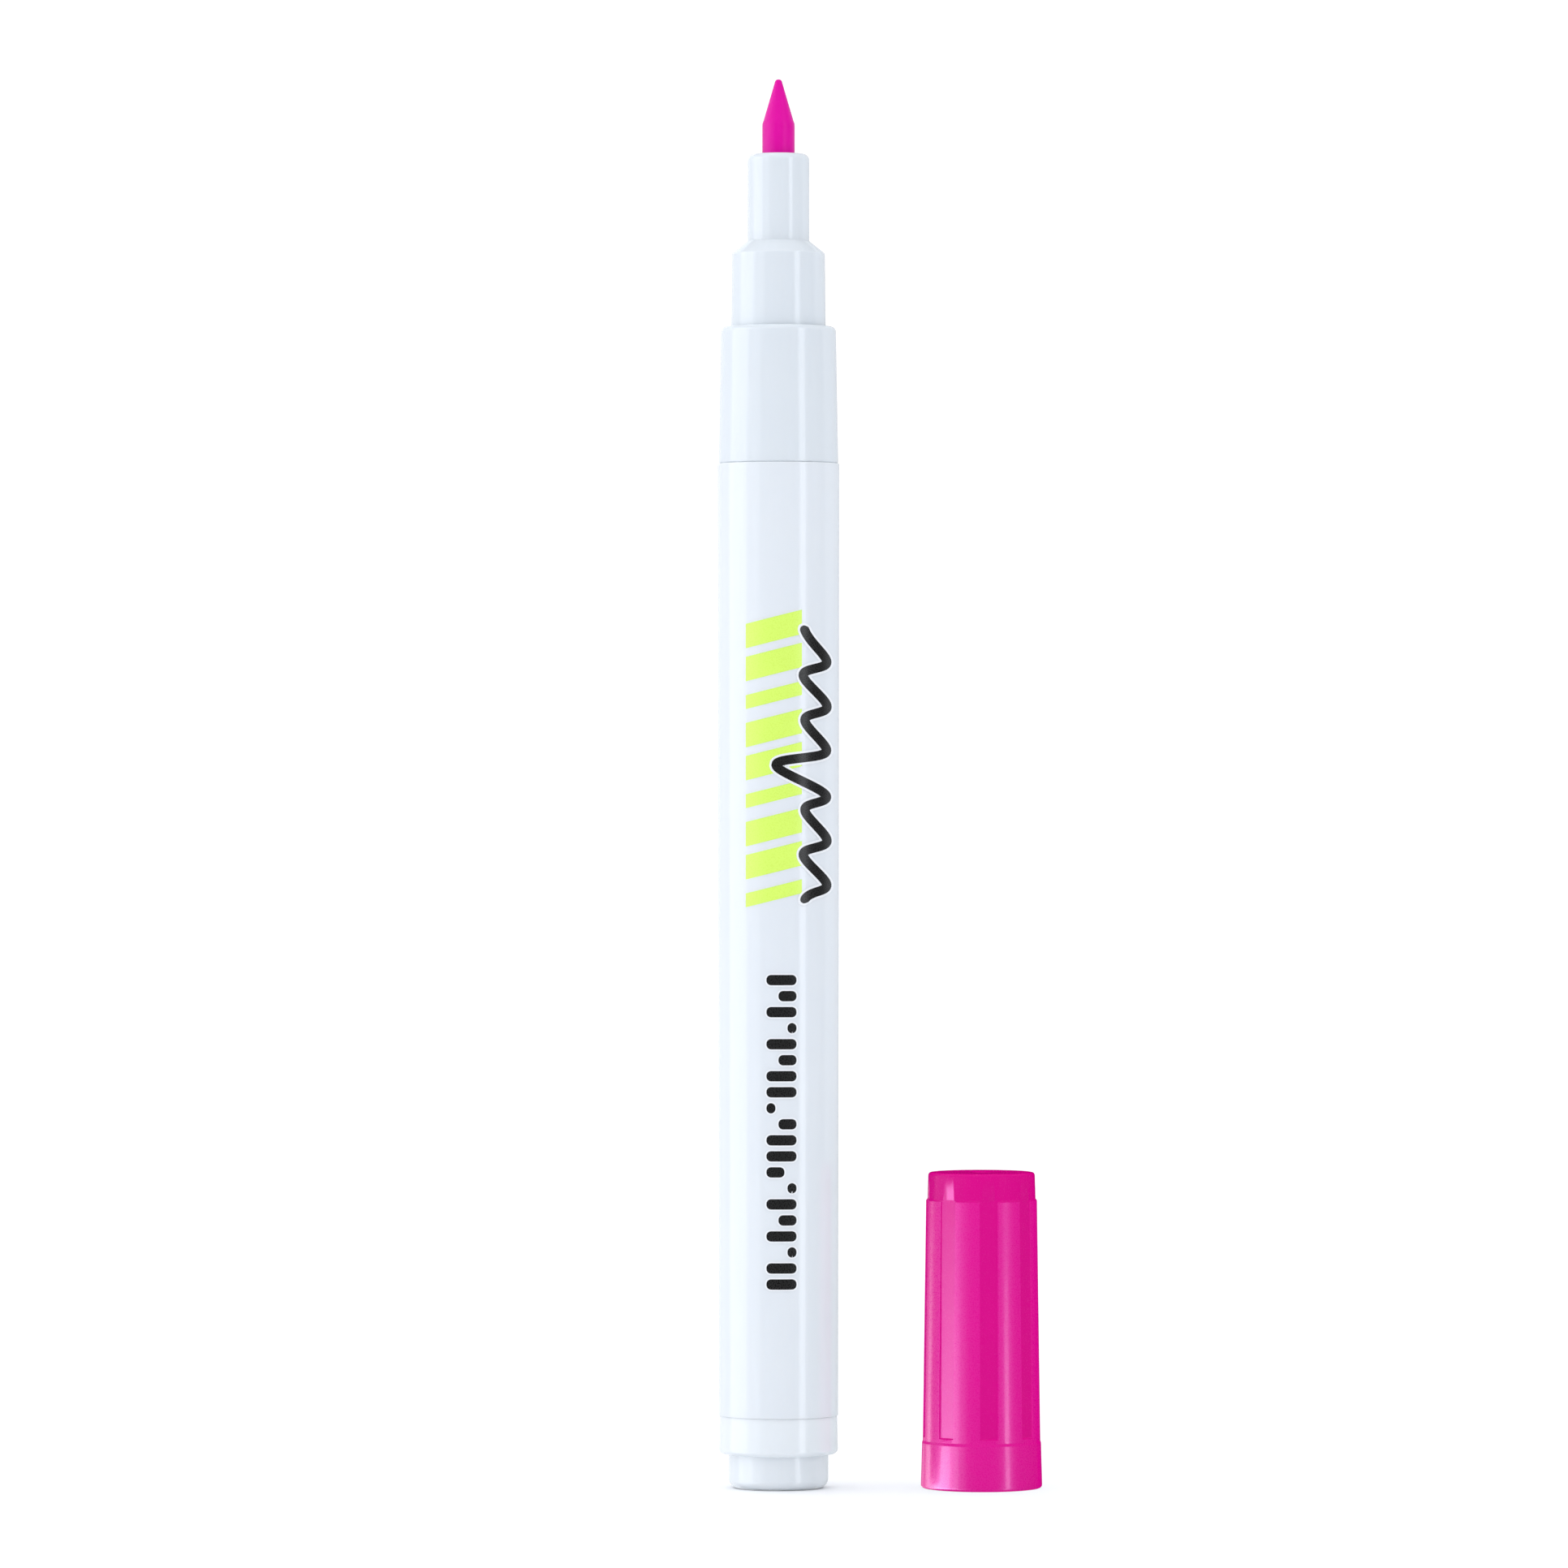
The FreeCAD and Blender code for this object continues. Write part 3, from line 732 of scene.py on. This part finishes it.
class MARKER_OT_cap_shell(bpy.types.Operator):
    """Models the fluted cap, stood on its mouth beside the marker"""

    bl_idname = "marker.cap_shell"
    bl_label = "Cap shell"

    def execute(self, context):
        size = context.scene.cap_sizes
        top = CAP_HIGH.z
        lead = 0.3 * MM
        round_edge = size.mouth_round
        end = size.ring_edge
        rings = [
            (size.post_bore + lead, 0),
            *arc(size.mouth - round_edge, round_edge, round_edge, -90, 0),
            (size.band_front, size.band_length),
            (size.land_rear, size.band_length + size.band_chamfer),
            (size.land_front, size.land_end),
            (size.ring_rear, size.ring_start),
            *arc(size.ring_front - end, top - end, end, 0, 90),
            (GATE_RIM, top),
            (GATE_FLOOR, top - GATE_DEPTH),
            (POLE, top - GATE_DEPTH),
            (POLE, size.shell_depth),
            (size.liner_bore, size.shell_depth),
            (size.liner_bore, size.grip_depth),
            (size.grip_bore, size.grip_depth),
            (size.grip_bore, size.post_depth),
            (size.post_bore, size.post_depth),
            (size.post_bore, lead),
            (size.post_bore + lead, 0),
        ]
        first_side = math.radians(size.flute_turn + 180 / SIDES)
        shell = turned(CAP_SHELL, rings, CAP_X, first_side)
        for number in range(size.flute_count):
            turn = math.radians(size.flute_turn + 360 * number / size.flute_count)
            cut(shell, self.flute_cutter(size, turn))
        self.mark_polished(size, shell)
        soft_edges(shell, 0.035 * MM, 7)
        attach(shell, "cap")
        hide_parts("cap_shell")
        return {"FINISHED"}

    def flute_cutter(self, size, turn):
        """A bar whose inner face is the flute's floor and whose foot is the sloping ledge."""
        inside, outside = size.flute_rear, size.mouth + 0.5 * MM
        low, high = size.flute_start, size.ring_start + 0.02 * MM
        middle = Vector(((inside + outside) / 2, 0, (low + high) / 2))
        deselect_all()
        bpy.ops.mesh.primitive_cube_add(size=1, location=middle)
        cutter = bpy.context.object
        cutter.scale = (outside - inside, size.flute_width, high - low)
        bake_place(cutter)
        move_points(
            cutter, lambda place: place.x < middle.x and place.z > middle.z,
            (size.flute_front - size.flute_rear, 0, 0),
        )
        drop = size.flute_ledge * (outside - inside) / (size.mouth - inside)
        move_points(cutter, lambda place: place.x > middle.x and place.z < middle.z, (0, 0, -drop))
        cutter.rotation_euler.z = turn
        cutter.location.x = CAP_X
        bake_place(cutter)
        return cutter

    def mark_polished(self, size, shell):
        """The flutes and the end ring take the polished finish, whose deeper magenta is painted shade, and
        the rest the grained one.
        """
        shell.data.materials.clear()
        shell.data.materials.append(bpy.data.materials[SATIN])
        shell.data.materials.append(bpy.data.materials[POLISHED])
        side_middle = math.cos(math.radians(180 / SIDES))
        for face in shell.data.polygons:
            across, along, height = face.center.x - CAP_X, face.center.y, face.center.z
            out = math.hypot(across, along)
            outer_wall = out > size.flute_front - 0.1 * MM and height > size.band_length
            sunk = out < self.land_radius(size, height) * side_middle - 0.03 * MM
            faces_out = abs(face.normal.x * along - face.normal.y * across) < 0.9 * out
            on_ring = height > size.ring_start - 0.02 * MM
            if on_ring or (outer_wall and sunk and faces_out):
                face.material_index = 1

    def land_radius(self, size, height):
        along = (height - size.band_length) / (size.land_end - size.band_length)
        return size.land_rear + (size.land_front - size.land_rear) * along


class MARKER_OT_cap_liner(bpy.types.Operator):
    """Models the inner cap that seals on the neck"""

    bl_idname = "marker.cap_liner"
    bl_label = "Cap liner"

    def execute(self, context):
        low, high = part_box("cap_liner")
        outer, lip, mouth, bore = 4.0 * MM, 2.9 * MM, 3.3 * MM, 3.2 * MM
        lead, seal, roof = 0.9 * MM, 2.4 * MM, 1.2 * MM
        rings = [
            (mouth, low.z),
            (outer, low.z),
            (outer, high.z),
            (POLE, high.z),
            (POLE, high.z - roof),
            (bore, high.z - roof),
            (bore, low.z + 2 * lead + seal),
            (lip, low.z + lead + seal),
            (lip, low.z + lead),
            (mouth, low.z),
        ]
        liner = turned("cap_liner_moulding", rings, CAP_X)
        soft_edges(liner, 0.04 * MM)
        finish_piece(liner, bpy.data.materials[NATURAL], "cap", "natural_plastic", "cap_liner")
        return {"FINISHED"}


class MARKER_OT_printing(bpy.types.Operator):
    """Lays the generic printed hatch, wave and blocks on the barrel as thin films of ink"""

    bl_idname = "marker.printing"
    bl_label = "Printing"

    def execute(self, context):
        size = context.scene.print_sizes
        self.lime_hatch(size)
        self.wave("print_wave_margin", size, size.wave_stroke + 2 * size.wave_halo, 2, WHITE_INK)
        self.wave("print_wave", size, size.wave_stroke, 3, BLACK_INK)
        self.blocks("print_blocks_margin", size, size.wave_halo * 0.7, 2, WHITE_INK)
        self.blocks("print_blocks", size, 0, 3, BLACK_INK)
        return {"FINISHED"}

    def bar(self, across, up, width, height, slant=0.0, corner=0.0):
        """A flat bar in front of the barrel, its right end raised by slant and its corners rounded."""
        deselect_all()
        bpy.ops.mesh.primitive_plane_add(
            size=1, location=(across, PRINT_PLANE, up), rotation=(math.radians(90), 0, 0)
        )
        piece = bpy.context.object
        piece.scale = (width, height, 1)
        bake_place(piece)
        move_points(piece, lambda place: place.x > across, (0, 0, slant))
        if corner:
            bpy.ops.object.mode_set(mode="EDIT")
            bpy.ops.mesh.select_all(action="SELECT")
            bpy.ops.mesh.bevel(offset=corner, segments=6, affect="VERTICES")
            bpy.ops.object.mode_set(mode="OBJECT")
        return piece

    def columns(self, piece, left, right):
        """Cuts a flat piece into narrow upright columns, so that it can follow the barrel round."""
        only(piece)
        bpy.ops.object.mode_set(mode="EDIT")
        column = 0.2 * MM
        count = int((right - left) / column)
        for number in range(1, count):
            bpy.ops.mesh.select_all(action="SELECT")
            bpy.ops.mesh.bisect(
                plane_co=(left + (right - left) * number / count, 0, 0), plane_no=(1, 0, 0)
            )
        bpy.ops.object.mode_set(mode="OBJECT")

    def lay(self, piece, layers, finish):
        """Wraps the flat piece on the barrel, so many layers of ink high, and closes it as a film."""
        height = layers * bpy.context.scene.print_sizes.ink
        clearance = 0.003 * MM  # left between the film and the barrel
        apply_modifier(
            piece, "SHRINKWRAP", target=bpy.data.objects[BARREL], wrap_method="PROJECT",
            wrap_mode="ABOVE_SURFACE", offset=height, use_project_y=True,
            use_positive_direction=True, use_negative_direction=False,
        )
        apply_modifier(piece, "SOLIDIFY", thickness=height - clearance, offset=-1)
        only(piece)
        bpy.ops.object.mode_set(mode="EDIT")
        bpy.ops.mesh.select_all(action="SELECT")
        bpy.ops.mesh.normals_make_consistent(inside=False)
        bpy.ops.object.mode_set(mode="OBJECT")
        bpy.ops.object.shade_smooth_by_angle(angle=math.radians(32))
        piece.data.materials.append(bpy.data.materials[finish])
        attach(piece, "pen")

    def lime_hatch(self, size):
        width = size.lime_right - size.lime_left
        centre = (size.lime_left + size.lime_right) / 2
        slant = 1.3 * MM
        broad, narrow = 0.74, 0.42  # a bar's thickness, as shares of the pitch
        pitch = (size.lime_high - size.lime_low - slant) / size.lime_bars
        bars = []
        for number in range(size.lime_bars):
            thick = pitch * (broad if number % 3 else narrow)
            up = size.lime_low + pitch * (number + 0.5)
            bars.append(self.bar(centre, up, width, thick, slant))
        hatch = joined("print_hatch", bars)
        self.columns(hatch, size.lime_left, size.lime_right)
        self.lay(hatch, 1, LIME_INK)

    def blocks(self, name, size, margin, layers, finish):
        width = size.block_right - size.block_left
        thick, pitch = 0.95 * MM, 1.47 * MM
        shares = [1, 1, 0.3, 1, 0.6, 1, 0.3, 0.6, 1, 1, 0.6, 0.3, 1, 1, 0.6, 1, 0.3, 1, 0.6, 1]
        bars = []
        for number, share in enumerate(shares):
            long = width * share + 2 * margin
            left = size.block_left - margin if number % 2 else size.block_right + margin - long
            up = size.block_low + thick / 2 + pitch * number
            corner = (thick / 2 + margin) * 0.9
            bars.append(self.bar(left + long / 2, up, long, thick + 2 * margin, 0, corner))
        row = joined(name, bars)
        self.columns(row, size.block_left - margin, size.block_right + margin)
        self.lay(row, layers, finish)

    def wave_path(self, size):
        """A smooth guide in its own XY plane: X runs up the barrel and Y across it."""
        guide = bpy.data.curves.new("wave_guide", "CURVE")
        guide.dimensions = "2D"
        guide.resolution_u = 24
        swings, long_swing = 13, 6
        lean, lengthening = 0.45 * MM, 2.6 * MM
        step = (size.wave_high - size.wave_low) / (swings - 1)
        spline = guide.splines.new("NURBS")
        spline.points.add(2 * swings - 1)
        for number in range(swings):
            side = 1 if number % 2 else -1
            reach = size.wave_swing * (1.15 if number % 4 else 1.0)
            across = size.wave_centre + side * reach * 1.2
            up = size.wave_low + step * number
            if number == long_swing:
                across -= lengthening
            crest = up - lean * side
            spline.points[2 * number].co = (crest - 0.2 * step, across, 0, 1)
            spline.points[2 * number + 1].co = (crest + 0.2 * step, across, 0, 1)
        spline.order_u = 4
        spline.use_endpoint_u = True
        path = bpy.data.objects.new("wave_guide", guide)
        bpy.context.scene.collection.objects.link(path)
        return path, spline.calc_length()

    def wave(self, name, size, stroke, layers, finish):
        path, run = self.wave_path(size)
        extra = (stroke - size.wave_stroke) / 2
        deselect_all()
        bpy.ops.mesh.primitive_grid_add(
            x_subdivisions=420, y_subdivisions=5, size=1, location=(run / 2, 0, 0)
        )
        piece = bpy.context.object
        piece.name = name
        piece.data.name = name
        piece.scale = (run + 2 * extra, stroke, 1)
        bake_place(piece)
        self.round_ends(piece, -extra, run + extra, stroke / 2)
        apply_modifier(piece, "CURVE", object=path, deform_axis="POS_X")
        bpy.data.objects.remove(path)
        only(piece)
        piece.matrix_world = UP_THE_BARREL
        bake_place(piece)
        self.lay(piece, layers, finish)

    def round_ends(self, piece, first, last, radius):
        for point in piece.data.vertices:
            inside = min(point.co.x - first, last - point.co.x)
            if inside < radius:
                point.co.y *= math.sqrt(max(0.02, 1 - (1 - inside / radius) ** 2))


class MARKER_OT_stage(bpy.types.Operator):
    """Sets up the pale floor, the soft light and the camera"""

    bl_idname = "marker.stage"
    bl_label = "Stage"

    def execute(self, context):
        self.camera(context.scene)
        self.floor()
        self.surroundings(context.scene)
        shell = bpy.data.objects[CAP_SHELL]
        shell.visible_diffuse = False
        on_cap = self.lit_group("lit_by_cap_lights", shell, "INCLUDE")
        on_pen = self.lit_group("lit_by_pen_lights", shell, "EXCLUDE")
        for name, start, stop, radiance in (
            ("pen_left_softbox", -106, -62.6, 2.7),
            ("pen_left_spill", -62.6, -36, 1.0),
            ("pen_rear_softbox", -180, -106, 1.1),
            ("pen_right_strip", 40.5, 53.5, 2.8),
            ("pen_rear_fill", 100, 180, 0.7),
        ):
            self.softbox(name, on_pen, start, stop, radiance)
        for name, start, stop, radiance in (
            ("cap_rear_softbox", -160, -132, 3.5),
            ("cap_side_softbox", -132, -104, 8),
            ("cap_left_softbox", -104, -64, 15),
            ("cap_left_spill", -64, -46, 6.5),
            ("cap_left_edge", -46, -32, 1.8),
            ("cap_right_strip", 45.5, 54.5, 12),
        ):
            self.fade_upwards(self.softbox(name, on_cap, start, stop, radiance, CAP_X))
        context.scene.view_settings.view_transform = "Standard"
        return {"FINISHED"}

    def camera(self, scene):
        deselect_all()
        aside, distance, height = 0.51 * MM, 788 * MM, 65 * MM
        bpy.ops.object.camera_add(
            location=(aside, -distance, height), rotation=(math.radians(90), 0, 0)
        )
        camera = bpy.context.object
        camera.data.sensor_width = 36
        camera.data.lens = 195.8
        scene.camera = camera

    def floor(self):
        deselect_all()
        bpy.ops.mesh.primitive_grid_add(x_subdivisions=8, y_subdivisions=8, size=24)
        floor = bpy.context.object
        floor.name = "studio_floor"
        floor.data.materials.append(bpy.data.materials[FLOOR])
        floor.visible_glossy = False
        floor.visible_shadow = False

    def surroundings(self, scene):
        """White paper all round, and a soft dome, brighter on the left and overhead, as its light."""
        world = bpy.data.worlds.new("studio")
        scene.world = world
        world.use_nodes = True
        world.cycles_visibility.glossy = False
        tree = world.node_tree
        tree.nodes.clear()
        seen = add(tree, "ShaderNodeLightPath").outputs["Is Camera Ray"]
        place = add(tree, "ShaderNodeTexCoord").outputs["Generated"]
        aim = add(tree, "ShaderNodeSeparateXYZ", {0: place}).outputs
        side = add(tree, "ShaderNodeMapRange", {
            "Value": aim["X"], "From Min": -1, "From Max": 1, "To Min": 0.76, "To Max": 0.32,
        })
        level = add(tree, "ShaderNodeMath", {0: aim["Z"], 1: 1.15, 2: side}, operation="MULTIPLY_ADD")
        above = add(tree, "ShaderNodeMapRange", {
            "Value": aim["Z"], "From Min": -0.002, "From Max": 0.002, "To Min": 0, "To Max": 1,
        })
        strength = add(tree, "ShaderNodeMath", {0: level, 1: above}, operation="MULTIPLY")
        dome = add(tree, "ShaderNodeBackground", {"Color": linear("#FBFCFF"), "Strength": strength})
        paper = add(tree, "ShaderNodeBackground", {"Color": (1, 1, 1, 1), "Strength": 1.1})
        both = add(tree, "ShaderNodeMixShader", {0: seen, 1: dome, 2: paper})
        add(tree, "ShaderNodeOutputWorld", {"Surface": both})

    def lit_group(self, name, piece, state):
        """A group for light linking that takes in the piece alone, or everything but the piece."""
        group = bpy.data.collections.new(name)
        group.objects.link(piece)
        group.collection_objects[0].light_linking.link_state = state
        return group

    def softbox(self, name, lit, start, stop, radiance, centre=0.0):
        """An upright softbox that only shows in gloss, from start to stop degrees round the piece
        from the front, negative on the left."""
        deselect_all()
        distance, low, high = 0.4, -0.30, 0.40
        turn = math.radians((start + stop) / 2)
        width = 2 * distance * math.tan(math.radians(stop - start) / 2)
        place = Vector((distance * math.sin(turn), -distance * math.cos(turn), (low + high) / 2))
        facing = Vector((-place.x, -place.y, 0)).to_track_quat("-Z", "Y").to_euler()
        place.x += centre
        bpy.ops.object.light_add(type="AREA", location=place, rotation=facing)
        box = bpy.context.object
        box.name = name
        box.data.shape = "RECTANGLE"
        box.data.size = width
        box.data.size_y = high - low
        box.data.energy = radiance * math.pi * width * (high - low)
        box.data.color = linear("#F6FAFF")[:3]
        box.light_linking.receiver_collection = lit
        box.visible_camera = False
        box.visible_diffuse = False
        return box

    def fade_upwards(self, box):
        """Lets the softbox give out upwards, so that its gloss fades towards the cap's closed end."""
        full, gone = 0.405, 0.445  # as shares of the softbox's height
        box.data.use_nodes = True
        tree = box.data.node_tree
        place = add(tree, "ShaderNodeNewGeometry").outputs["Parametric"]
        height = add(tree, "ShaderNodeSeparateXYZ", {0: place}).outputs["Y"]
        strength = add(tree, "ShaderNodeMapRange", {
            "Value": height, "From Min": full, "From Max": gone, "To Min": 1, "To Max": 0,
        })
        tree.links.new(strength.outputs[0], tree.nodes["Emission"].inputs["Strength"])


class MARKER_PT_panel(bpy.types.Panel):
    """Lists the marker's pieces in the order that they are made"""

    bl_label = "Paint marker"
    bl_idname = "MARKER_PT_panel"
    bl_space_type = "VIEW_3D"
    bl_region_type = "UI"
    bl_category = "Marker"

    def draw(self, context):
        for operator in OPERATORS:
            self.layout.operator(operator.bl_idname)
        for group_name in GROUPS:
            group = getattr(context.scene, group_name)
            column = self.layout.column(align=True)
            for name in group.bl_rna.properties.keys():
                if name not in ("rna_type", "name"):
                    column.prop(group, name)


GROUPS = {
    "marker_sizes": MarkerSizes,
    "cap_sizes": CapSizes,
    "print_sizes": PrintSizes,
    "marker_colours": MarkerColours,
}
OPERATORS = (
    MARKER_OT_tail_plug,
    MARKER_OT_barrel,
    MARKER_OT_nose_section,
    MARKER_OT_nib,
    MARKER_OT_valve_unit,
    MARKER_OT_valve_spring,
    MARKER_OT_cap_shell,
    MARKER_OT_cap_liner,
    MARKER_OT_printing,
    MARKER_OT_stage,
)


def register():
    for group in GROUPS.values():
        bpy.utils.register_class(group)
    for operator in OPERATORS:
        bpy.utils.register_class(operator)
    bpy.utils.register_class(MARKER_PT_panel)
    for name, group in GROUPS.items():
        setattr(bpy.types.Scene, name, PointerProperty(type=group))


def unregister():
    for name in GROUPS:
        delattr(bpy.types.Scene, name)
    bpy.utils.unregister_class(MARKER_PT_panel)
    for item in (*OPERATORS, *GROUPS.values()):
        bpy.utils.unregister_class(item)


def make_materials():
    colours = bpy.context.scene.marker_colours
    white_polypropylene(BARREL_WHITE, colours.barrel_white)
    white_polypropylene(NOSE_WHITE, colours.nose_white)
    # The plug takes the lighter white: painted fill light against the shade at the foot.
    white_polypropylene(PLUG_WHITE, colours.plug_white_painted_fill)
    magenta_polypropylene(SATIN, colours.magenta, colours.haze, 0.28, 0.55, 0.17, 0.006 * MM)
    # The polished faces take the deeper magenta: painted shade in the flutes and on the end ring.
    magenta_polypropylene(POLISHED, colours.magenta_painted_shade, colours.haze, 0.22, 0.36, 0.0, 0.001 * MM)
    soaked_fibre(colours)
    screen_ink(LIME_INK, colours.lime)
    screen_ink(BLACK_INK, colours.black)
    screen_ink(WHITE_INK, colours.halo)
    natural_plastic(colours)
    drawn_steel(colours)
    seal_rubber(colours)
    studio_floor_paint(colours)


def main():
    register()
    make_materials()
    for operator in OPERATORS:
        getattr(bpy.ops.marker, operator.bl_idname.split(".")[1])()


if __name__ == "__main__":
    main()
